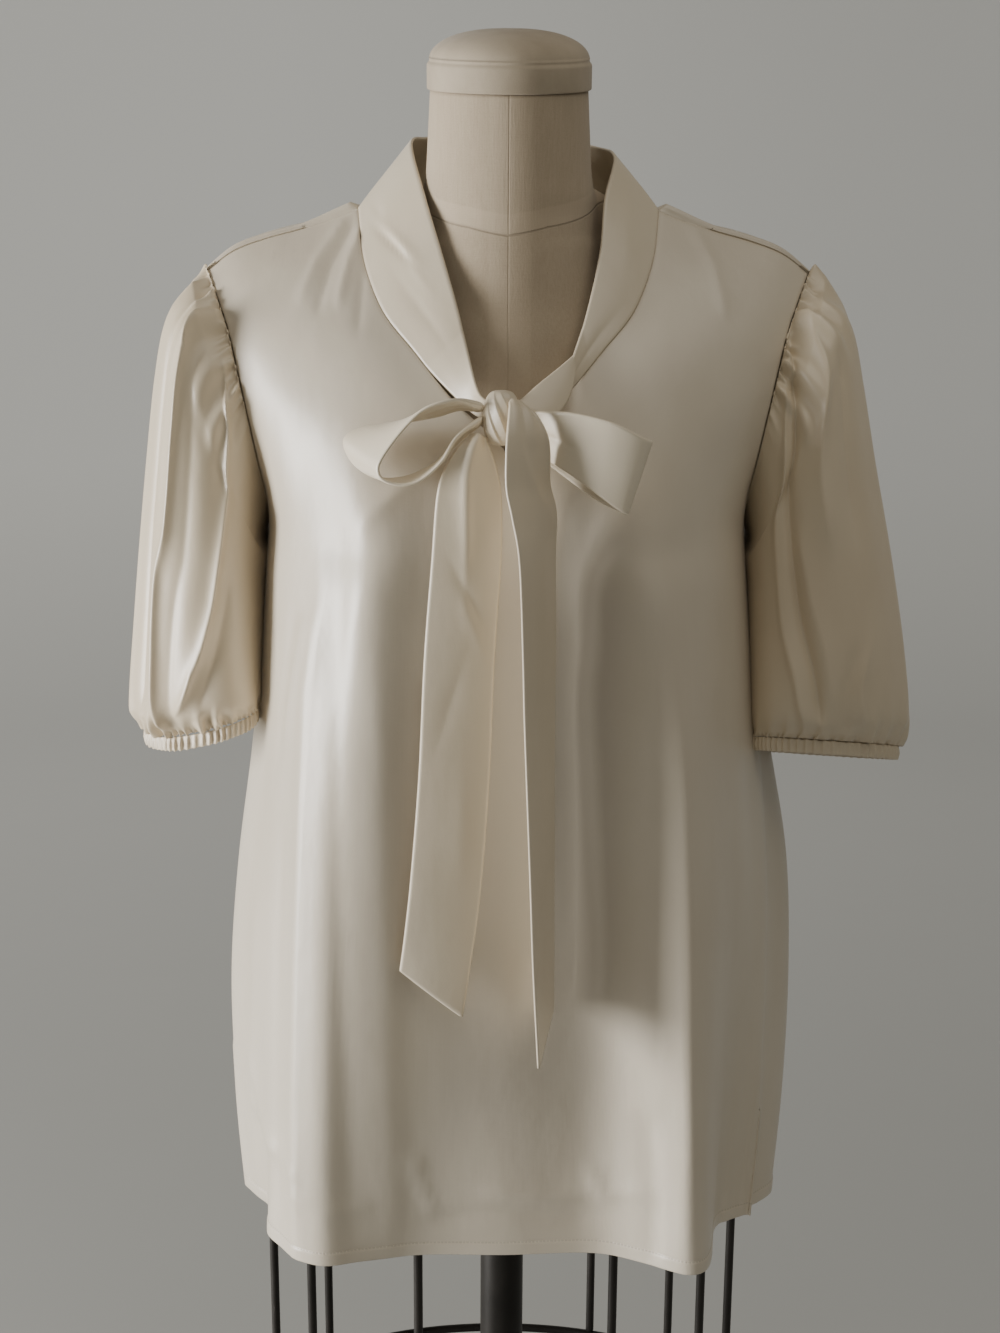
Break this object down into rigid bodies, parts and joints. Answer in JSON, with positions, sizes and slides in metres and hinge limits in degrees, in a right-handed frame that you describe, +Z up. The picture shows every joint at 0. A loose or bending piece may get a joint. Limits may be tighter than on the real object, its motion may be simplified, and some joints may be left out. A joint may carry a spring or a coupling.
{
  "type": "tie neck blouse on dress form",
  "caption": "Cream tie neck blouse with short puff sleeves and a soft bow, worn by a limbless linen dress form on a wire cage, pole and round base.",
  "frame": {"origin": "on the floor, at the middle of the round base's flat underside, under the pole", "axes": "+Z up the pole; the blouse and the form face -Y; +X is to the right as seen from the front, the wearer's left"},
  "size_m": [0.5643, 0.41, 1.4979],
  "materials": {
    "cream_cloth": "soft ivory satin crepe, smooth, low sheen",
    "linen": "warm grey woven linen, matte",
    "cap_cloth": "cream cloth-covered cap, matte",
    "black_metal": "near black satin paint, slightly worn"
  },
  "bodies": {
    "root": {"front": "cream_cloth", "back": "cream_cloth", "sleeve_right": "cream_cloth", "sleeve_left": "cream_cloth", "cuff_right": "cream_cloth", "cuff_left": "cream_cloth", "collar": "cream_cloth", "bow_knot": "cream_cloth", "bow_loop_left": "cream_cloth", "bow_loop_right": "cream_cloth", "bow_tail_left": "cream_cloth", "bow_tail_right": "cream_cloth", "form_torso": "linen", "form_cap": "cap_cloth", "cage_rod_1": "black_metal", "cage_rod_2": "black_metal", "cage_rod_3": "black_metal", "cage_rod_4": "black_metal", "cage_rod_5": "black_metal", "cage_rod_6": "black_metal", "cage_rod_7": "black_metal", "cage_rod_8": "black_metal", "cage_rod_9": "black_metal", "cage_rod_10": "black_metal", "cage_ring": "black_metal", "stand_pole": "black_metal", "stand_boss": "black_metal", "stand_base": "black_metal"}
  },
  "joints": []
}
